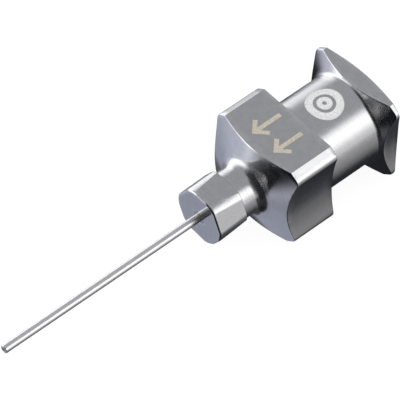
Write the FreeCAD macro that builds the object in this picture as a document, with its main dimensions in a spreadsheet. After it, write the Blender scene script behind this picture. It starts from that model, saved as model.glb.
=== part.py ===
"""Blunt 26 gauge metal needle with a female Luer-lock hub.

Millimetres. The origin is the centre of the Luer mouth. The needle's axis is the X axis, with the tip
towards -X, and +Z is the normal of the hub's upper flat.
"""
import FreeCAD
import Part
import math
import os
import re
import Sketcher

os.makedirs("parts", exist_ok=True)
doc = FreeCAD.newDocument("luer_needle")

# Driving dimensions. Places along the axis are distances from the mouth towards the tip.
DIMENSIONS = {
    # bar section: two flats, two scooped sides, bevelled corners
    "across_flats": 5.5,
    "flat_width": 5.0,
    "waist_width": 5.58,
    "scoop_radius": 9.0,
    "bevel_foot": 2.31,
    "corner_round": 0.35,
    "corner_reach": 3.88,
    # places along the axis
    "hub_length": 11.30,
    "head_rear": 9.46,
    "block_front": 7.34,
    "block_rear": 4.67,
    "flange_front": 0.53,
    "flange_rear": 0.38,
    # turned shape
    "head_radius": 1.64,
    "nose_edge": 0.13,
    "neck_radius": 1.40,
    "neck_fillet": 0.6,
    "block_face_angle": 21.3,
    "barrel_radius": 2.575,
    "barrel_fillet": 0.25,
    "flange_front_angle": 26.4,
    "flange_rear_angle": 15.0,
    # crimped head: a flat under each jaw, deepest at the rear, and one between each two, deepest at the nose
    "jaw_count": 3.0,
    "deep_turn": 4.0,
    "deep_at_nose": 0.05,
    "deep_at_rear": 0.2,
    "shallow_turn": 64.0,
    "shallow_at_nose": 0.12,
    "shallow_at_rear": 0.07,
    "crimp_middle": 10.2,
    "crimp_squeeze": 0.012,
    # female 6 % Luer socket with a drilled floor
    "mouth_radius": 2.145,
    "mouth_chamfer": 0.1,
    "luer_taper": 0.06,
    "socket_depth": 7.6,
    "drill_angle": 118.0,
    # 26 gauge tube
    "tube_radius": 0.2318,
    "tube_bore": 0.13,
    "tube_reach": 12.8,
    "tube_rear": 8.48,
    "tip_round": 0.04,
    # countersink and bead at the nose
    "sink_radius": 0.38,
    "sink_depth": 0.12,
}
# A turning cut reaches this much past the stock that it removes.
OVERCUT = "0.5"
# The crimp squeezes the tube into a shallow waist. This is its radius at the countersink's bottom.
TUBE_AT_SINK = "(tube_radius - crimp_squeeze * sink_depth / (hub_length - crimp_middle))"

sheet = doc.addObject("Spreadsheet::Sheet", "sizes")
for row, (alias, value) in enumerate(DIMENSIONS.items(), start=1):
    sheet.set(f"A{row}", alias)
    sheet.set(f"B{row}", str(value))
    sheet.setAlias(f"B{row}", alias)
doc.recompute()


def bound(formula):
    """The formula with each alias written as a reference to the sheet."""
    return re.sub(r"[a-z]+(_[a-z]+)+", r"sizes.\g<0>", formula)


def value_of(formula):
    """The formula's value now, to place geometry before its constraints hold it."""
    result = sheet.evalExpression(bound(formula))
    return float(getattr(result, "Value", result))


def origin_feature(body, role):
    return next(item for item in body.Origin.OriginFeatures if item.Role == role)


def new_body(name):
    body = doc.addObject("PartDesign::Body", name)
    body.Label = name
    body.Placement = FreeCAD.Placement()
    return body


def new_sketch(body, name, plane):
    sketch = body.newObject("Sketcher::SketchObject", name)
    sketch.AttachmentSupport = [(origin_feature(body, plane), "")]
    sketch.MapMode = "FlatFace"
    return sketch


def dimension(sketch, name, formula, *constraint):
    """A dimensional constraint bound to the sheet."""
    sketch.addConstraint(Sketcher.Constraint(*constraint, value_of(formula)))
    sketch.renameConstraint(sketch.ConstraintCount - 1, name)
    sketch.setExpression(f"Constraints.{name}", bound(formula))


def outline(body, name, corners, plane="XZ_Plane", arcs=None):
    """A closed outline, each corner given as two formulas. Its sides are straight, apart from the arcs."""
    arcs = arcs or {}
    sketch = new_sketch(body, name, plane)
    places = [FreeCAD.Vector(value_of(along), value_of(out), 0) for along, out in corners]
    count = len(corners)
    for i in range(count):
        side = arcs[i] if i in arcs else Part.LineSegment(places[i], places[(i + 1) % count])
        sketch.addGeometry(side, False)
    for i in range(count):
        sketch.addConstraint(Sketcher.Constraint("Coincident", i, 2, (i + 1) % count, 1))
    for i, (along, out) in enumerate(corners):
        if along == "0":
            sketch.addConstraint(Sketcher.Constraint("PointOnObject", i, 1, -2))
        else:
            dimension(sketch, f"along_{i}", along, "DistanceX", -1, 1, i, 1)
        if out == "0":
            sketch.addConstraint(Sketcher.Constraint("PointOnObject", i, 1, -1))
        else:
            dimension(sketch, f"out_{i}", out, "DistanceY", -1, 1, i, 1)
    return sketch


def turned(body, kind, name, corners):
    """A full turn about the X axis: a Groove cuts, a Revolution adds."""
    feature = body.newObject(f"PartDesign::{kind}", name)
    feature.Profile = outline(body, f"{name}_outline", corners)
    feature.ReferenceAxis = (origin_feature(body, "X_Axis"), [""])
    feature.Angle = 360.0
    doc.recompute()
    return feature


def circles(shape, radius, along):
    """Names of the shape's full circular edges about the axis with this radius and place."""
    found = []
    for i, edge in enumerate(shape.Edges, start=1):
        curve = edge.Curve
        if (
            isinstance(curve, Part.Circle)
            and abs(curve.Radius - radius) < 1e-4
            and abs(curve.Center.x + along) < 1e-4
        ):
            found.append(f"Edge{i}")
    return found


def fillet(body, name, base, edges, formula):
    feature = body.newObject("PartDesign::Fillet", name)
    feature.Base = (base, edges)
    feature.setExpression("Radius", bound(formula))
    doc.recompute()
    return feature


def bar_stock(body):
    """The drawn bar: a flat above and below, a scoop on each side, four bevelled corners."""
    scoop_centre = "waist_width / 2 + scoop_radius"
    foot_out = f"({scoop_centre} - sqrt(scoop_radius ^ 2 - bevel_foot ^ 2))"
    corners = [
        ("-flat_width / 2", "across_flats / 2"),
        ("flat_width / 2", "across_flats / 2"),
        (foot_out, "bevel_foot"),
        (foot_out, "-bevel_foot"),
        ("flat_width / 2", "-across_flats / 2"),
        ("-flat_width / 2", "-across_flats / 2"),
        (f"-{foot_out}", "-bevel_foot"),
        (f"-{foot_out}", "bevel_foot"),
    ]
    radius = value_of("scoop_radius")
    centre = value_of(scoop_centre)
    foot = value_of("bevel_foot")
    sweep = math.asin(foot / radius)
    scoops = {}
    for side, middle, facing in ((2, centre, math.pi), (6, -centre, 0.0)):
        circle = Part.Circle(FreeCAD.Vector(middle, 0, 0), FreeCAD.Vector(0, 0, 1), radius)
        scoops[side] = Part.ArcOfCircle(circle, facing - sweep, facing + sweep)
    section = outline(body, "bar_section", corners, "YZ_Plane", scoops)
    for side in scoops:
        dimension(section, f"scoop_{side}", "scoop_radius", "Radius", side)

    bar = body.newObject("PartDesign::Pad", "bar")
    bar.Profile = section
    bar.Reversed = True
    bar.setExpression("Length", bound("hub_length"))
    doc.recompute()
    foot_edges = [
        f"Edge{i}"
        for i, edge in enumerate(bar.Shape.Edges, start=1)
        if isinstance(edge.Curve, Part.Line)
        and abs(edge.Curve.Direction.x) > 0.999
        and abs(abs(edge.CenterOfMass.z) - foot) < 1e-4
    ]
    return fillet(body, "bar_corners", bar, foot_edges, "corner_round")


def crimp_flats(body, name):
    """Slightly tilted flats pressed round the nose head, one for each jaw."""
    above = f"head_radius + {OVERCUT}"
    front = f"hub_length + {OVERCUT}"
    rear = f"head_rear - {OVERCUT}"
    jaw = outline(
        body,
        f"{name}_jaw",
        [
            (f"-({front})", above),
            (f"-({front})", f"head_radius - {name}_at_nose"),
            ("-hub_length", f"head_radius - {name}_at_nose"),
            ("-head_rear", f"head_radius - {name}_at_rear"),
            (f"-({rear})", f"head_radius - {name}_at_rear"),
            (f"-({rear})", above),
        ],
    )
    jaw.AttachmentOffset = FreeCAD.Placement(
        FreeCAD.Vector(), FreeCAD.Rotation(FreeCAD.Vector(1, 0, 0), value_of(f"{name}_turn"))
    )
    flat = body.newObject("PartDesign::Pocket", f"{name}_flat")
    flat.Profile = jaw
    flat.SideType = "Symmetric"
    flat.setExpression("Length", bound("head_radius * 2"))
    doc.recompute()
    flats = body.newObject("PartDesign::PolarPattern", f"{name}_flats")
    flats.Originals = [flat]
    flats.Axis = (origin_feature(body, "X_Axis"), [""])
    flats.Angle = 360.0
    flats.setExpression("Occurrences", bound("jaw_count"))
    body.Tip = flats
    doc.recompute()


def face_place(start, angle, radius):
    """Where a conical face that passes corner_reach at start lies at another radius."""
    return f"{start} + tan({angle}) * (corner_reach - ({radius}))"


def hub():
    """One turned piece: crimped nose head, neck, spanner block, barrel and lugged flange."""
    body = new_body("hub")
    bar_stock(body)
    outside = f"corner_reach + {OVERCUT}"
    nose_end = f"-(hub_length + {OVERCUT})"
    turned(
        body,
        "Groove",
        "nose_turning",
        [
            (nose_end, "head_radius"),
            ("-head_rear", "head_radius"),
            ("-head_rear", "neck_radius"),
            (f"-({face_place('block_front', 'block_face_angle', 'neck_radius')})", "neck_radius"),
            (f"-({face_place('block_front', 'block_face_angle', outside)})", outside),
            (nose_end, outside),
        ],
    )
    turned(
        body,
        "Groove",
        "barrel_turning",
        [
            ("-block_rear", "barrel_radius"),
            (f"-({face_place('flange_front', 'flange_front_angle', 'barrel_radius')})", "barrel_radius"),
            (f"-({face_place('flange_front', 'flange_front_angle', outside)})", outside),
            ("-block_rear", outside),
        ],
    )
    mouth_rim = "corner_reach - flange_rear / tan(flange_rear_angle)"
    mouth = turned(
        body,
        "Groove",
        "mouth_turning",
        [
            ("0", mouth_rim),
            (f"-(flange_rear + tan(flange_rear_angle) * {OVERCUT})", outside),
            (OVERCUT, outside),
            (OVERCUT, mouth_rim),
        ],
    )
    neck_corner = circles(
        mouth.Shape,
        value_of("neck_radius"),
        value_of(face_place("block_front", "block_face_angle", "neck_radius")),
    )
    neck = fillet(body, "neck_blend", mouth, neck_corner, "neck_fillet")
    barrel_corner = circles(
        neck.Shape,
        value_of("barrel_radius"),
        value_of(face_place("flange_front", "flange_front_angle", "barrel_radius")),
    )
    barrel = fillet(body, "barrel_blend", neck, barrel_corner, "barrel_fillet")
    nose_corner = circles(barrel.Shape, value_of("head_radius"), value_of("hub_length"))
    fillet(body, "nose_round", barrel, nose_corner, "nose_edge")
    crimp_flats(body, "deep")
    crimp_flats(body, "shallow")
    floor_radius = "(mouth_radius - luer_taper * socket_depth / 2)"
    turned(
        body,
        "Groove",
        "luer_socket",
        [
            ("0", "0"),
            ("0", "mouth_radius + mouth_chamfer"),
            ("-mouth_chamfer", "mouth_radius - luer_taper * mouth_chamfer / 2"),
            ("-socket_depth", floor_radius),
            (f"-(socket_depth + {floor_radius} / tan(drill_angle / 2))", "0"),
        ],
    )
    turned(
        body,
        "Groove",
        "tube_hole",
        [
            (nose_end, "0"),
            (nose_end, "tube_radius"),
            ("-hub_length", "tube_radius"),
            ("-crimp_middle", "tube_radius - crimp_squeeze"),
            ("-head_rear", "tube_radius"),
            ("-socket_depth", "tube_radius"),
            ("-socket_depth", "0"),
        ],
    )
    turned(
        body,
        "Groove",
        "nose_countersink",
        [
            ("-hub_length", "0"),
            ("-hub_length", "sink_radius"),
            ("-(hub_length - sink_depth)", TUBE_AT_SINK),
            ("-(hub_length - sink_depth)", "0"),
        ],
    )
    return body


def cannula():
    """The tube, from its blunt tip to its open end in the socket floor."""
    body = new_body("cannula")
    tip = "-(hub_length + tube_reach)"
    tube = turned(
        body,
        "Revolution",
        "tube",
        [
            (tip, "tube_bore"),
            (tip, "tube_radius"),
            ("-hub_length", "tube_radius"),
            ("-crimp_middle", "tube_radius - crimp_squeeze"),
            ("-head_rear", "tube_radius"),
            ("-tube_rear", "tube_radius"),
            ("-tube_rear", "tube_bore"),
        ],
    )
    tip_edge = circles(tube.Shape, value_of("tube_radius"), value_of("hub_length + tube_reach"))
    fillet(body, "blunt_tip", tube, tip_edge, "tip_round")
    return body


def seal_bead():
    """The ring of sealing metal that fills the countersink round the tube."""
    body = new_body("seal_bead")
    turned(
        body,
        "Revolution",
        "bead",
        [
            ("-(hub_length - sink_depth)", TUBE_AT_SINK),
            ("-hub_length", "tube_radius"),
            ("-hub_length", "sink_radius"),
        ],
    )
    return body


def check(parts):
    """Stops unless every object is sound and every cut has removed material."""
    for item in doc.Objects:
        if {"Invalid", "Error"} & set(item.State):
            raise RuntimeError(f"{item.Name} is {item.State}")
    for body in parts:
        shape = body.Shape
        if shape.isNull() or not shape.isValid() or len(shape.Solids) != 1:
            raise RuntimeError(f"{body.Label} isn't one valid solid")
        previous = None
        for feature in body.Group:
            if not feature.isDerivedFrom("PartDesign::Feature"):
                continue
            volume = feature.Shape.Volume
            cuts = feature.TypeId in ("PartDesign::Groove", "PartDesign::Pocket", "PartDesign::PolarPattern")
            if cuts and volume > previous - 1e-4:
                raise RuntimeError(f"{feature.Name} cuts nothing")
            previous = volume


parts = [hub(), cannula(), seal_bead()]
doc.recompute()
check(parts)
for body in parts:
    body.Shape.exportStep(f"parts/{body.Label}.step")
    print(body.Label, round(body.Shape.Volume, 4), body.Shape.BoundBox)
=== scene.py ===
import math

import bmesh
import bpy
from mathutils import Matrix, Vector


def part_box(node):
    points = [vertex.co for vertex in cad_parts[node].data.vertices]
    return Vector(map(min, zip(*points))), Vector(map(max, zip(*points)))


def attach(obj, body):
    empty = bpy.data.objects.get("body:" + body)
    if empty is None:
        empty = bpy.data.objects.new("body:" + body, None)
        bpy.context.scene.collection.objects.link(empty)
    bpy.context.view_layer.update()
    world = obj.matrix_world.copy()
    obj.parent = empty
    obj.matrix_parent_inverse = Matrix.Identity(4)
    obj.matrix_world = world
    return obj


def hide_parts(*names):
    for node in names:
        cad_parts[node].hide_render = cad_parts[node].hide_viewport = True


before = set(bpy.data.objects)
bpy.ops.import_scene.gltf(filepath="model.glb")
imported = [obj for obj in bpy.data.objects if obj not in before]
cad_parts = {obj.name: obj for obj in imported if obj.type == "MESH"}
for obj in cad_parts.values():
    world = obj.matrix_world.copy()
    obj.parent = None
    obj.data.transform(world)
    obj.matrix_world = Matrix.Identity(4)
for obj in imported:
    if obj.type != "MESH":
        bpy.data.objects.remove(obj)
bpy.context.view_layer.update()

MM = 0.001

# The hub's sizes in millimetres, as the CAD model has them. X runs along the axis, 0 at the Luer mouth.
HUB_LOW, HUB_HIGH = (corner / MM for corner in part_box("hub"))
TUBE_LOW, TUBE_HIGH = (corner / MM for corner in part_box("cannula"))
NOSE = HUB_LOW.x
FLAT = HUB_HIGH.z
WAIST = 2.79
SCOOP = 9.0
FLAT_EDGE = 2.5
BEVEL_FOOT = 2.31
CORNER = 0.35
REACH = 3.88
HEAD_REAR = -9.46
BLOCK_FRONT = -7.34
BLOCK_REAR = -4.67
FLANGE_FRONT = -0.53
FLANGE_REAR = -0.38
HEAD = 1.64
NECK = 1.40
NECK_BLEND = 0.6
BARREL = 2.575
BARREL_BLEND = 0.25
BLOCK_SLOPE = math.tan(math.radians(21.3))
FLANGE_SLOPE = math.tan(math.radians(26.4))
REAR_SLOPE = math.tan(math.radians(15.0))
JAWS = 3
# Each ring of crimp flats is its first turn, then its depth at the nose and at the head's rear.
CRIMPS = ((math.radians(94.0), 0.05, 0.2), (math.radians(154.0), 0.12, 0.07))
NOSE_EDGE = 0.13
MOUTH = 2.145
MOUTH_CHAMFER = 0.1
TAPER = 0.03
SOCKET_DEPTH = 7.6
DRILL_SLOPE = math.tan(math.radians(59.0))
TUBE = 0.2318
TUBE_BORE = 0.13
SINK = 0.38
SINK_DEPTH = 0.12
CRIMP_MIDDLE = -10.2
SQUEEZE = 0.012

# Machined edges are broken by this much, and the line between flat and bevel by less.
EDGE = 0.045
CREASE = 0.02
TIP_ROUND = 0.04
BORE_ROUND = 0.012
SINK_EDGE = 0.02
HEAD_EDGE = 0.035
BARREL_FOOT = 0.05
MOUTH_EDGE = 0.05

# Etched marks stand this far proud of the steel and reach this deep into it.
ETCH = 0.005
ETCH_ROOT = 0.02
HATCH_PITCH = 0.06
ARROW_TIP = -7.16
ARROW_LENGTH = 1.95
ARROW_WIDTH = 1.3
ARROW_PEN = 0.25
ARROW_PLACES = (-0.70, 0.93)
SPOT_X = -2.88
SPOT_ANGLE = math.radians(92.0)
SPOT_RINGS = ((0.12, 0.42), (0.60, 1.03))

# The studio, in degrees. A patch of it is a middle azimuth, half width and side feather, then its lowest and
# highest elevation with the feather below and above.
CEILING = (0.43, 0.435, 0.455, 1)
FRONT_GROUND = ((-47, (0.395, 0.415, 0.505)), (-22, (0.65, 0.68, 0.80)), (0, (0.66, 0.68, 0.76)))
BACK_GROUND = (
    (-62, (0.058, 0.063, 0.072)),
    (-54, (0.11, 0.115, 0.125)),
    (-45, (0.225, 0.225, 0.23)),
    (-30, (0.35, 0.35, 0.355)),
    (-13, (0.48, 0.48, 0.49)),
    (0, (0.60, 0.60, 0.61)),
)
FRONT = (134, 40, 20, -90, 90, 1, 1)
HORIZON = (-4, 8)
HORIZON_GLOW = (1, 1, 1, 1)
DARK = (0.006, 0.007, 0.01, 1)
SOFT_LIGHT = 1.2
SHADES = (
    ((0, 24, 34, -50, -18, 16, 20), 0.95),
    ((-153, 34, 26, -23, 54, 12, 18), 1.0),
    ((-125, 40, 12, -90, -12, 1, 16), 0.88),
)
LAMPS = (
    ((-65, 14, 13, 26, 35, 34, 18), (1.9, 1.9, 1.9, 1)),
    ((108, 41, 9, -9, 12, 9, 22), (1.75, 1.79, 1.86, 1)),
)

# A dark painted shadow under the barrel, in millimetres: it fades in from -X and -Y and out towards +X and
# +Y.
PAINTED_SHADOW_X = ((-8.0, -3.5), (0.0, 3.0))
PAINTED_SHADOW_Y = ((-4.4, -3.0), (7.5, 15.0))
PAINTED_SHADOW_LIFT = 0.002
PAINTED_SHADOW_SIZE = 30.0
PAINTED_SHADOW_TONE = (0.02, 0.022, 0.026, 1)

# The floor glows a little and takes a share of the part's soft shadow.
FLOOR_SIZE = 600.0
FLOOR_GLOW = 1.05
FLOOR_TONE = (0.93, 0.93, 0.935, 1)
SHADOW_SHARE = 0.12

# The camera: turn, height and roll in degrees, then millimetres.
CAMERA_ANGLES = (-42.51, 51.10, 1.46)
CAMERA_TARGET = Vector((-6.942, 0, 0))
CAMERA_DISTANCE = 195.53
CAMERA_SHIFT = (3.207, 1.330)
LENS = 344.1
SENSOR = 36.0

# Base colours of the metals and the marks.
STEEL = (0.61, 0.61, 0.615)
TUBE_STEEL = (0.80, 0.795, 0.79)
BEAD_METAL = (0.50, 0.50, 0.51)
WORN_STEEL = (0.80, 0.80, 0.81, 1.0)
ETCHED_TAN = (0.46, 0.42, 0.355)
ETCHED_WHITE = (0.66, 0.66, 0.665)


def arc(centre, radius, start, end, steps):
    """Points of an arc in the (x, r) plane. Angles are in radians."""
    points = []
    for i in range(steps + 1):
        angle = start + (end - start) * i / steps
        points.append((centre[0] + radius * math.cos(angle), centre[1] + radius * math.sin(angle)))
    return points


def line(start, end, steps):
    """Points between start and end, without either."""
    points = []
    for i in range(1, steps):
        share = i / steps
        points.append(tuple(a + (b - a) * share for a, b in zip(start, end)))
    return points


def rounded(before, corner, after, radius, steps):
    """A corner of a profile replaced by an arc tangent to both of its sides."""
    corner = Vector(corner)
    one = (Vector(before) - corner).normalized()
    two = (Vector(after) - corner).normalized()
    half = one.angle(two) / 2
    middle = corner + (one + two).normalized() * radius / math.sin(half)
    first = corner + one * radius / math.tan(half) - middle
    last = corner + two * radius / math.tan(half) - middle
    start = math.atan2(first.y, first.x)
    turn = math.atan2(first.x * last.y - first.y * last.x, first.dot(last))
    return arc(middle, radius, start, start + turn, steps)


# The bar's section in its first quarter: a flat, a bevel, a rounded corner and a scoop.
SCOOP_CENTRE = Vector((WAIST + SCOOP, 0))
FOOT = Vector((SCOOP_CENTRE.x - math.sqrt(SCOOP**2 - BEVEL_FOOT**2), BEVEL_FOOT))
BEVEL_RUN = (FOOT - Vector((FLAT_EDGE, FLAT))).normalized()
BEVEL_NORMAL = Vector((-BEVEL_RUN.y, BEVEL_RUN.x))
BEVEL_REACH = BEVEL_NORMAL.dot(FOOT)


def corner_centre():
    """The centre of the rounding that touches both the bevel and the scoop."""
    foot = BEVEL_NORMAL * (BEVEL_REACH - CORNER) - SCOOP_CENTRE
    along = foot.dot(BEVEL_RUN)
    run = -along - math.sqrt(along**2 - foot.length_squared + (SCOOP + CORNER) ** 2)
    return foot + SCOOP_CENTRE + BEVEL_RUN * run


def turn_of(point):
    return math.atan2(point.y, point.x)


CORNER_CENTRE = corner_centre()
FLAT_ANGLE = turn_of(Vector((FLAT_EDGE, FLAT)))
BEVEL_ANGLE = turn_of(CORNER_CENTRE + BEVEL_NORMAL * CORNER)
SCOOP_ANGLE = turn_of(CORNER_CENTRE.lerp(SCOOP_CENTRE, CORNER / (SCOOP + CORNER)))


def smooth_min(a, b, width):
    """The smaller of two values, blended over width where they cross."""
    h = max(width - abs(a - b), 0.0) / width
    return min(a, b) - h * h * width / 4


def bar_radius(angle):
    """How far the bar's surface is from the axis, at an angle from +Y towards +Z."""
    ray = Vector((abs(math.cos(angle)), abs(math.sin(angle))))
    around = turn_of(ray)
    if around >= BEVEL_ANGLE:
        return smooth_min(FLAT / ray.y, BEVEL_REACH / BEVEL_NORMAL.dot(ray), CREASE)
    if around >= SCOOP_ANGLE:
        along = CORNER_CENTRE.dot(ray)
        return along + math.sqrt(along**2 - CORNER_CENTRE.length_squared + CORNER**2)
    along = SCOOP_CENTRE.dot(ray)
    return along - math.sqrt(along**2 - SCOOP_CENTRE.length_squared + SCOOP**2)


def head_radius(x, angle):
    """The crimped nose head: a cylinder with tilted flats pressed into it."""
    share = (x - NOSE) / (HEAD_REAR - NOSE)
    spacing = math.tau / JAWS
    radius = HEAD
    for turn, at_nose, at_rear in CRIMPS:
        off = (angle - turn + spacing / 2) % spacing - spacing / 2
        floor = HEAD - at_nose - (at_rear - at_nose) * share
        radius = smooth_min(radius, floor / math.cos(off), CREASE)
    return radius


def profile(angle):
    """The hub's outline in the half plane at this angle: a closed loop of (x, r, finish, wear)."""
    bar = bar_radius(angle)
    loop = []

    def add(finish, points, wear=0.0):
        loop.extend((x, r, finish, wear) for x, r in points)

    def block_face(r):
        return BLOCK_FRONT - BLOCK_SLOPE * (REACH - r)

    def flange_face(r):
        return FLANGE_FRONT - FLANGE_SLOPE * (REACH - r)

    def flange_back(r):
        return FLANGE_REAR + REAR_SLOPE * (REACH - r)

    # nose face, from the countersink outwards
    sink_bottom = (NOSE + SINK_DEPTH, TUBE - SQUEEZE * SINK_DEPTH / (CRIMP_MIDDLE - NOSE))
    rim = (NOSE, SINK)
    nose_corner = (NOSE, head_radius(NOSE, angle))
    head_corner = (HEAD_REAR, head_radius(HEAD_REAR, angle))
    add("face", [sink_bottom])
    add("face", line(sink_bottom, rim, 3))
    add("face", rounded(sink_bottom, rim, nose_corner, SINK_EDGE, 3), 1.0)
    nose_edge = rounded(rim, nose_corner, head_corner, NOSE_EDGE, 10)
    add("face", line((NOSE, SINK + 0.03), nose_edge[0], 7))
    add("turned", nose_edge, 0.7)

    # crimped head
    head_rim = rounded(nose_corner, head_corner, (HEAD_REAR, NECK), HEAD_EDGE, 4)
    start = nose_edge[-1][0]
    stations = [start + (head_rim[0][0] - start) * i / 20 for i in range(1, 20)]
    add("crimp", [(x, head_radius(x, angle)) for x in stations])
    add("turned", head_rim, 1.0)

    # neck and its blend into the block's conical face
    blend_x = BLOCK_FRONT - BLOCK_SLOPE * (REACH - NECK)
    neck_corner = (blend_x, NECK)
    outer = (block_face(bar), bar)
    neck = rounded((HEAD_REAR, NECK), neck_corner, outer, NECK_BLEND, 18)
    add("turned", rounded(head_corner, (HEAD_REAR, NECK), neck_corner, 0.02, 3))
    add("turned", line((HEAD_REAR + 0.02, NECK), neck[0], 6))
    add("turned", neck)

    # block
    rear_corner = (BLOCK_REAR, bar)
    front_edge = rounded(neck_corner, outer, rear_corner, EDGE, 4)
    rear_edge = rounded(outer, rear_corner, (BLOCK_REAR, BARREL), EDGE, 4)
    add("face", line(neck[-1], front_edge[0], 12))
    add("bar", front_edge, 1.0)
    add("bar", line(front_edge[-1], rear_edge[0], 8))
    add("bar", rear_edge, 1.0)

    # barrel
    flange_corner = (flange_face(BARREL), BARREL)
    lug = (flange_face(bar), bar)
    barrel_start = rounded(rear_corner, (BLOCK_REAR, BARREL), flange_corner, BARREL_FOOT, 4)
    barrel_end = rounded((BLOCK_REAR, BARREL), flange_corner, lug, BARREL_BLEND, 8)
    add("face", line(rear_edge[-1], barrel_start[0], 6))
    add("turned", barrel_start)
    add("turned", line(barrel_start[-1], barrel_end[0], 10))
    add("turned", barrel_end)

    # flange with the lugs
    lug_rear = (flange_back(bar), bar)
    mouth_rim = (0.0, REACH + FLANGE_REAR / REAR_SLOPE)
    lug_front_edge = rounded(flange_corner, lug, lug_rear, EDGE, 4)
    lug_rear_edge = rounded(lug, lug_rear, mouth_rim, EDGE, 4)
    add("face", line(barrel_end[-1], lug_front_edge[0], 8))
    add("bar", lug_front_edge, 1.0)
    add("bar", line(lug_front_edge[-1], lug_rear_edge[0], 4))
    add("bar", lug_rear_edge, 1.0)

    # mouth, Luer socket, drilled floor and the hole for the tube
    lip = (0.0, MOUTH + MOUTH_CHAMFER)
    throat = (-MOUTH_CHAMFER, MOUTH - TAPER * MOUTH_CHAMFER)
    floor = (-SOCKET_DEPTH, MOUTH - TAPER * SOCKET_DEPTH)
    hole = (-SOCKET_DEPTH - (floor[1] - TUBE) / DRILL_SLOPE, TUBE)
    rim_edge = rounded(lug_rear, mouth_rim, lip, MOUTH_EDGE, 3)
    add("face", line(lug_rear_edge[-1], rim_edge[0], 6))
    add("face", rim_edge, 1.0)
    add("face", rounded(mouth_rim, lip, throat, 0.02, 2), 1.0)
    add("socket", rounded(lip, throat, floor, 0.03, 3))
    add("socket", line(throat, floor, 14))
    add("socket", rounded(throat, floor, hole, 0.05, 3))
    add("socket", line(floor, hole, 7))
    add("socket", [hole, (HEAD_REAR, TUBE), (CRIMP_MIDDLE, TUBE - SQUEEZE)])
    return loop


def angles():
    """Angles round the hub: every change of the bar's shape and of the crimp flats is one of them."""
    crease = CREASE / REACH * 2
    stretches = (
        (0.0, SCOOP_ANGLE, 18),
        (SCOOP_ANGLE, BEVEL_ANGLE, 10),
        (BEVEL_ANGLE, FLAT_ANGLE - crease, 5),
        (FLAT_ANGLE - crease, FLAT_ANGLE + crease, 6),
        (FLAT_ANGLE + crease, math.pi / 2, 20),
    )
    quarter = []
    for start, end, steps in stretches:
        quarter += [start + (end - start) * i / steps for i in range(steps)]
    around = []
    for turn in range(4):
        mirrored = turn % 2
        for angle in quarter:
            angle = (turn + 1) * math.pi / 2 - angle if mirrored else turn * math.pi / 2 + angle
            around.append(angle % math.tau)
    for turn, at_nose, at_rear in CRIMPS:
        ends = sorted(math.acos(1 - depth / HEAD) for depth in (at_nose, at_rear))
        for i in range(JAWS):
            for step in range(20):
                off = ends[0] - 0.02 + (ends[1] - ends[0] + 0.04) * step / 19
                around.append((turn + i * math.tau / JAWS + off) % math.tau)
                around.append((turn + i * math.tau / JAWS - off) % math.tau)
    around.sort()
    kept = [around[0]]
    for angle in around[1:]:
        if min(angle - kept[-1], math.tau - angle) > 0.0025:
            kept.append(angle)
    return kept


def swept(name, around, profile_at, finishes):
    """A closed ring mesh: profile_at(angle) is the loop of (x, r, finish, wear) at each angle about X."""
    mesh = bpy.data.meshes.new(name)
    bm = bmesh.new()
    wear = bm.verts.layers.float.new("wear")
    rows = []
    for angle in around:
        y, z = math.cos(angle), math.sin(angle)
        row = []
        for x, r, finish, worn in profile_at(angle):
            vert = bm.verts.new((x * MM, r * y * MM, r * z * MM))
            vert[wear] = worn
            row.append(vert)
        rows.append(row)
    marks = [point[2] for point in profile_at(around[0])]
    count = len(marks)
    for i, row in enumerate(rows):
        beside = rows[(i + 1) % len(rows)]
        for j in range(count):
            k = (j + 1) % count
            face = bm.faces.new((row[j], row[k], beside[k], beside[j]))
            face.smooth = True
            face.material_index = finishes.index(marks[j])
    bmesh.ops.recalc_face_normals(bm, faces=bm.faces)
    return finished(name, mesh, bm)


def finished(name, mesh, bm):
    """The object of a mesh that is done. It rides on the part's one body."""
    bm.to_mesh(mesh)
    bm.free()
    piece = bpy.data.objects.new(name, mesh)
    bpy.context.scene.collection.objects.link(piece)
    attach(piece, "root")
    return piece


def even_angles(count):
    return [math.tau * i / count for i in range(count)]


def tube_profile(angle):
    """The needle tube's wall as a closed loop: tip, outside, rear end, bore."""
    tip, rear = TUBE_LOW.x, TUBE_HIGH.x
    loop = []

    def add(wear, points):
        loop.extend((x, r, "tube", wear) for x, r in points)

    outer_tip = rounded((tip, TUBE_BORE), (tip, TUBE), (rear, TUBE), TIP_ROUND, 6)
    bore_tip = rounded((rear, TUBE_BORE), (tip, TUBE_BORE), (tip, TUBE), BORE_ROUND, 3)
    add(1.0, bore_tip)
    add(1.0, outer_tip)
    add(0.0, line(outer_tip[-1], (NOSE, TUBE), 60))
    add(0.0, [(NOSE, TUBE), (CRIMP_MIDDLE, TUBE - SQUEEZE), (HEAD_REAR, TUBE), (rear, TUBE)])
    add(0.0, [(rear, TUBE_BORE)])
    add(0.0, line((rear, TUBE_BORE), bore_tip[0], 12))
    return loop


def bead_profile(angle):
    """The seal's ring: domed in the countersink, with a slightly uneven rim."""
    low, high = (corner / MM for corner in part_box("seal_bead"))
    uneven = 0.006 * math.sin(5 * angle) + 0.004 * math.sin(11 * angle + 1.3)
    outer = high.y - 0.012 + uneven
    dome = arc((NOSE, TUBE), outer - TUBE, math.pi / 2, math.pi, 10)
    proud = (NOSE - low.x) / (outer - TUBE)
    loop = [(NOSE + (x - NOSE) * proud, r, "bead", 0.0) for x, r in dome[:-1]]
    loop += [(low.x, TUBE, "bead", 0.0), (NOSE + SINK_DEPTH, TUBE, "bead", 0.0)]
    return loop


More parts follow.
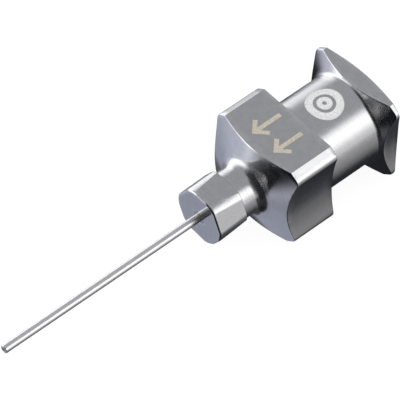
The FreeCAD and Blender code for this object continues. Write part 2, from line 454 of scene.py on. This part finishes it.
def ring_band(bm, inner, outer, place):
    """A thin closed ring on a surface. place(u, v, height) gives a point of the surface."""
    steps = 72
    levels = [inner + (outer - inner) * i / 6 for i in range(7)]
    rows = []
    for angle in even_angles(steps):
        row = []
        for height, radii in ((ETCH, levels), (-ETCH_ROOT, levels[::-1])):
            for r in radii:
                row.append(bm.verts.new(place(r * math.cos(angle), r * math.sin(angle), height)))
        rows.append(row)
    count = len(rows[0])
    for i, row in enumerate(rows):
        beside = rows[(i + 1) % steps]
        for j in range(count):
            k = (j + 1) % count
            bm.faces.new((row[j], row[k], beside[k], beside[j]))


def arrow(bm, across, place):
    """A thin closed arrow in one even pen width, which points to the tip."""
    slant = ARROW_PEN / math.sqrt(2)
    barb = ARROW_WIDTH / 2
    throat = ARROW_PEN * math.sqrt(2) + ARROW_PEN / 2
    side = [
        (barb, barb),
        (barb - slant, barb + slant),
        (ARROW_PEN / 2, throat),
        (ARROW_PEN / 2, ARROW_LENGTH),
    ]
    outline = [(0.0, 0.0)] + side + [(-u, v) for u, v in reversed(side)]
    top, root = (
        [bm.verts.new(place(across + u, ARROW_TIP + v, height)) for u, v in outline]
        for height in (ETCH, -ETCH_ROOT)
    )
    bm.faces.new(top)
    bm.faces.new(root[::-1])
    for i in range(len(outline)):
        k = (i + 1) % len(outline)
        bm.faces.new((top[i], root[i], root[k], top[k]))


def etched_mark(name, bm, etched, smooth):
    bmesh.ops.triangulate(bm, faces=[face for face in bm.faces if len(face.verts) > 4])
    bmesh.ops.recalc_face_normals(bm, faces=bm.faces)
    for face in bm.faces:
        face.smooth = smooth
    mesh = bpy.data.meshes.new(name)
    mesh.materials.append(etched)
    finished(name, mesh, bm)


def flow_mark(etched):
    """Two plain arrows on the upper flat."""
    bm = bmesh.new()

    def on_flat(u, v, height):
        return (v * MM, -u * MM, (FLAT + height) * MM)

    for across in ARROW_PLACES:
        arrow(bm, across, on_flat)
    etched_mark("flow_mark", bm, etched, False)


def index_spot(etched):
    """A plain frosted spot of two rings, on top of the barrel."""
    bm = bmesh.new()

    def on_barrel(u, v, height):
        angle = SPOT_ANGLE + u / BARREL
        r = BARREL + height
        return ((SPOT_X + v) * MM, r * math.cos(angle) * MM, r * math.sin(angle) * MM)

    for inner, outer in SPOT_RINGS:
        ring_band(bm, inner, outer, on_barrel)
    etched_mark("index_spot", bm, etched, True)


class Graph:
    """Short calls for building a node tree."""

    def __init__(self, tree):
        self.tree = tree
        tree.nodes.clear()

    def node(self, kind, inputs=None, **settings):
        made = self.tree.nodes.new("ShaderNode" + kind)
        for name, value in settings.items():
            setattr(made, name, value)
        for key, value in (inputs or {}).items():
            if isinstance(value, bpy.types.NodeSocket):
                self.tree.links.new(value, made.inputs[key])
            else:
                made.inputs[key].default_value = value
        return made

    def maths(self, operation, *values):
        return self.node("Math", dict(enumerate(values)), operation=operation).outputs[0]

    def ramp(self, value, low, high, to_low=0.0, to_high=1.0, kind="SMOOTHSTEP"):
        inputs = {"Value": value, "From Min": low, "From Max": high, "To Min": to_low, "To Max": to_high}
        return self.node("MapRange", inputs, interpolation_type=kind).outputs[0]

    def mix(self, share, one, two):
        made = self.node("Mix", data_type="RGBA")
        for socket, value in ((made.inputs[0], share), (made.inputs[6], one), (made.inputs[7], two)):
            if isinstance(value, bpy.types.NodeSocket):
                self.tree.links.new(value, socket)
            else:
                socket.default_value = value
        return made.outputs[2]

    def noise(self, vector, scale, detail=2.0):
        return self.node("TexNoise", {"Vector": vector, "Scale": scale, "Detail": detail}).outputs[0]


def grain_vector(graph, kind):
    """Coordinates in millimetres, squeezed so that noise runs as the tool's marks do."""
    place = graph.node("TexCoord").outputs["Object"]
    x, y, z = graph.node("SeparateXYZ", {0: place}).outputs
    x, y, z = (graph.maths("MULTIPLY", part, 1 / MM) for part in (x, y, z))
    r = graph.maths("SQRT", graph.maths("ADD", graph.maths("MULTIPLY", y, y), graph.maths("MULTIPLY", z, z)))
    spots = graph.node("CombineXYZ", {0: x, 1: y, 2: z}).outputs[0]
    if kind == "rings":
        lines = graph.node("CombineXYZ", {0: x, 1: r, 2: 0.0}).outputs[0]
    elif kind == "along":
        lines = graph.node("CombineXYZ", {0: graph.maths("MULTIPLY", x, 0.06), 1: y, 2: z}).outputs[0]
    else:
        lines = spots
    return lines, spots


def shade(tone, factor):
    """A base colour made darker or lighter."""
    return tuple(min(c * factor, 1.0) for c in tone) + (1.0,)


def steel(name, grain, fineness, tone, roughness, spread, depth):
    """Bare stainless steel with tool marks: their fineness per mm, and their depth in micrometres.

    The roughness varies by spread to both sides.
    """
    material = bpy.data.materials.new(name)
    material.use_nodes = True
    graph = Graph(material.node_tree)
    lines, spots = grain_vector(graph, grain)
    marks = graph.noise(lines, fineness, 3.0)
    mottle = graph.noise(spots, 3.1, 4.0)
    specks = graph.noise(spots, 26.0, 2.0)
    worn = graph.node("Attribute", attribute_name="wear").outputs["Fac"]
    worn = graph.maths("MULTIPLY", worn, graph.ramp(mottle, 0.35, 0.6, 0.35, 1.0))

    colour = graph.mix(graph.ramp(mottle, 0.3, 0.7), shade(tone, 0.97), shade(tone, 1.03))
    colour = graph.mix(graph.ramp(marks, 0.62, 0.8, 0.0, 0.25), colour, shade(tone, 0.8))
    colour = graph.mix(graph.maths("MULTIPLY", worn, 0.6), colour, WORN_STEEL)

    rough = graph.ramp(marks, 0.3, 0.7, roughness - spread, roughness + spread, "LINEAR")
    rough = graph.maths("ADD", rough, graph.ramp(mottle, 0.3, 0.7, -spread * 0.25, spread * 0.25))
    rough = graph.maths("SUBTRACT", rough, graph.maths("MULTIPLY", worn, roughness * 0.35))

    height = graph.maths("ADD", marks, graph.maths("MULTIPLY", specks, 0.35))
    bump = graph.node("Bump", {"Strength": 1.0, "Distance": depth * 1e-6, "Height": height})
    shader = graph.node(
        "BsdfPrincipled",
        {"Base Color": colour, "Metallic": 1.0, "Roughness": rough, "Normal": bump.outputs[0]},
    )
    graph.node("OutputMaterial", {"Surface": shader.outputs[0]})
    return material


def etched_steel(name, tone):
    """A laser-frosted mark: matt oxide with the fine hatching of the beam."""
    material = bpy.data.materials.new(name)
    material.use_nodes = True
    graph = Graph(material.node_tree)
    spots = grain_vector(graph, "spots")[1]
    place = graph.node("SeparateXYZ", {0: spots}).outputs
    across = graph.maths("ADD", place["X"], place["Y"])
    hatch = graph.maths("SINE", graph.maths("MULTIPLY", across, math.tau / HATCH_PITCH))
    grit = graph.noise(spots, 14.0, 3.0)
    share = graph.ramp(graph.maths("ADD", grit, graph.maths("MULTIPLY", hatch, 0.06)), 0.3, 0.7)
    height = graph.maths("ADD", grit, graph.maths("MULTIPLY", hatch, 0.2))
    bump = graph.node("Bump", {"Strength": 1.0, "Distance": 2e-6, "Height": height})
    shader = graph.node(
        "BsdfPrincipled",
        {
            "Base Color": graph.mix(share, shade(tone, 0.8), shade(tone, 1.12)),
            "Roughness": graph.ramp(grit, 0.3, 0.7, 0.5, 0.7),
            "Normal": bump.outputs[0],
            "Specular IOR Level": 0.3,
        },
    )
    graph.node("OutputMaterial", {"Surface": shader.outputs[0]})
    return material


def patch(graph, azimuth, elevation, middle, half_width, feather, low, high, below, above):
    """How far a direction lies in a soft-edged patch of the studio: 1 inside, 0 outside."""
    radians = math.radians
    off = graph.maths("WRAP", graph.maths("SUBTRACT", azimuth, radians(middle)), math.pi, -math.pi)
    off = graph.maths("ABSOLUTE", off)
    across = graph.ramp(off, radians(half_width), radians(half_width + feather), 1.0, 0.0)
    bottom = graph.ramp(elevation, radians(low - below), radians(low))
    top = graph.ramp(elevation, radians(high), radians(high + above), 1.0, 0.0)
    return graph.maths("MULTIPLY", across, graph.maths("MULTIPLY", bottom, top))


def ground_ramp(graph, elevation, stops):
    """The ground's colour by elevation, smooth between the stops.

    Below the last stop it brightens to the horizon's glow. The last stop's own colour holds from there up.
    """
    low, high = stops[0][0], stops[-1][0]
    share = graph.ramp(elevation, math.radians(low), math.radians(high), kind="LINEAR")
    made = graph.node("ValToRGB", {0: share})
    ramp = made.color_ramp
    ramp.interpolation = "EASE"
    ramp.elements[0].color = (*stops[0][1], 1)
    ramp.elements[1].color = HORIZON_GLOW
    # The glow's stop stays at the top end, and the last colour is added after it at the same place.
    for angle, colour in stops[1:]:
        ramp.elements.new((angle - low) / (high - low)).color = (*colour, 1)
    return made.outputs[0]


def studio():
    """The room that the steel mirrors: pale ceiling, blue-grey ground in front, dark ground behind."""
    world = bpy.data.worlds.new("studio")
    bpy.context.scene.world = world
    world.use_nodes = True
    graph = Graph(world.node_tree)
    direction = graph.node("TexCoord").outputs["Generated"]
    x, y, z = graph.node("SeparateXYZ", {0: direction}).outputs
    azimuth = graph.maths("ARCTAN2", y, x)
    elevation = graph.maths("ARCSINE", z)
    front = ground_ramp(graph, elevation, FRONT_GROUND)
    back = ground_ramp(graph, elevation, BACK_GROUND)
    ground = graph.mix(patch(graph, azimuth, elevation, *FRONT), back, front)
    sky = graph.ramp(elevation, math.radians(HORIZON[0]), math.radians(HORIZON[1]))
    room = graph.mix(sky, ground, CEILING)
    for place, strength in SHADES:
        share = graph.maths("MULTIPLY", patch(graph, azimuth, elevation, *place), strength)
        room = graph.mix(share, room, DARK)
    for place, colour in LAMPS:
        room = graph.mix(patch(graph, azimuth, elevation, *place), room, colour)
    mirrored = graph.node("Background", {"Color": room, "Strength": 1.0})
    white = graph.node("Background", {"Color": (1, 1, 1, 1), "Strength": SOFT_LIGHT})
    glossy = graph.node("LightPath").outputs["Is Glossy Ray"]
    both = graph.node("MixShader", {0: glossy, 1: white.outputs[0], 2: mirrored.outputs[0]})
    graph.node("OutputWorld", {"Surface": both.outputs[0]})


def flat_sheet(name, size, height):
    """A level square sheet, part of the studio."""
    mesh = bpy.data.meshes.new(name)
    bm = bmesh.new()
    place = Matrix.Translation((0, 0, height))
    bmesh.ops.create_grid(bm, x_segments=8, y_segments=8, size=size, matrix=place)
    bm.to_mesh(mesh)
    bm.free()
    sheet = bpy.data.objects.new(name, mesh)
    bpy.context.scene.collection.objects.link(sheet)
    material = bpy.data.materials.new(name)
    material.use_nodes = True
    mesh.materials.append(material)
    return sheet, Graph(material.node_tree)


def floor():
    """A pale table top. The steel doesn't mirror it, but the studio's ground."""
    sheet, graph = flat_sheet("floor", FLOOR_SIZE * MM, HUB_LOW.z * MM)
    glow = graph.node("Emission", {"Color": (1, 1, 1, 1), "Strength": FLOOR_GLOW})
    lit = graph.node("BsdfDiffuse", {"Color": FLOOR_TONE})
    pale = graph.node("MixShader", {0: SHADOW_SHARE, 1: glow.outputs[0], 2: lit.outputs[0]})
    graph.node("OutputMaterial", {"Surface": pale.outputs[0]})
    sheet.visible_glossy = False


def painted_shadow_sheet():
    """A dark sheet of painted shadow under the barrel, seen only in the steel, where the part shades its own
    ground.
    """
    sheet, graph = flat_sheet("painted_ground_shade", PAINTED_SHADOW_SIZE * MM, (HUB_LOW.z + PAINTED_SHADOW_LIFT) * MM)
    place = graph.node("SeparateXYZ", {0: graph.node("TexCoord").outputs["Object"]})
    shares = []
    for axis, (fade_in, fade_out) in (("X", PAINTED_SHADOW_X), ("Y", PAINTED_SHADOW_Y)):
        along = place.outputs[axis]
        start = graph.ramp(along, fade_in[0] * MM, fade_in[1] * MM)
        end = graph.ramp(along, fade_out[0] * MM, fade_out[1] * MM, 1.0, 0.0)
        shares.append(graph.maths("MULTIPLY", start, end))
    clear = graph.node("BsdfTransparent")
    # Painted shadow: a dark glow that the steel mirrors under the barrel.
    painted_shade = graph.node("Emission", {"Color": PAINTED_SHADOW_TONE, "Strength": 1.0})
    share = graph.maths("MULTIPLY", *shares)
    both = graph.node("MixShader", {0: share, 1: clear.outputs[0], 2: painted_shade.outputs[0]})
    graph.node("OutputMaterial", {"Surface": both.outputs[0]})
    sheet.visible_camera = False
    sheet.visible_diffuse = False
    sheet.visible_shadow = False
    sheet.visible_transmission = False


def camera():
    """A long lens above the tip's left side, looking down on the needle."""
    azimuth, elevation, roll = (math.radians(a) for a in CAMERA_ANGLES)
    back = Vector(
        (
            math.sin(azimuth) * math.cos(elevation),
            -math.cos(azimuth) * math.cos(elevation),
            math.sin(elevation),
        )
    )
    level = Vector((math.cos(azimuth), math.sin(azimuth), 0))
    rise = back.cross(level)
    right = math.cos(roll) * level + math.sin(roll) * rise
    up = math.cos(roll) * rise - math.sin(roll) * level
    eye = CAMERA_TARGET + back * CAMERA_DISTANCE - right * CAMERA_SHIFT[0] - up * CAMERA_SHIFT[1]
    data = bpy.data.cameras.new("camera")
    data.sensor_width = SENSOR
    data.lens = LENS
    obj = bpy.data.objects.new("camera", data)
    turn = Matrix((right, up, back)).transposed().to_4x4()
    obj.matrix_world = Matrix.Translation(eye * MM) @ turn
    bpy.context.scene.collection.objects.link(obj)
    bpy.context.scene.camera = obj


FINISHES = {
    "bar": steel("steel_bar", "along", 9.0, STEEL, 0.17, 0.05, 0.5),
    "turned": steel("steel_turned", "rings", 14.0, STEEL, 0.24, 0.07, 0.6),
    "face": steel("steel_faced", "rings", 14.0, STEEL, 0.14, 0.04, 0.3),
    "crimp": steel("steel_crimped", "spots", 8.0, STEEL, 0.22, 0.07, 2.6),
    "socket": steel("steel_bored", "rings", 12.0, STEEL, 0.22, 0.06, 0.8),
}
hub = swept("turned_hub", angles(), profile, list(FINISHES))
for material in FINISHES.values():
    hub.data.materials.append(material)
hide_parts("hub")

tube = swept("needle_tube", even_angles(48), tube_profile, ["tube"])
tube.data.materials.append(steel("steel_drawn", "along", 30.0, TUBE_STEEL, 0.30, 0.05, 0.12))
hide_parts("cannula")

bead = swept("seal_ring", even_angles(64), bead_profile, ["bead"])
bead.data.materials.append(steel("bead_metal", "spots", 9.0, BEAD_METAL, 0.28, 0.08, 1.5))
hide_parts("seal_bead")

flow_mark(etched_steel("etched_tan", ETCHED_TAN))
index_spot(etched_steel("etched_white", ETCHED_WHITE))

studio()
floor()
# Painted shadow under the barrel, seen only in the steel.
painted_shadow_sheet()
camera()
bpy.context.scene.view_settings.view_transform = "Standard"
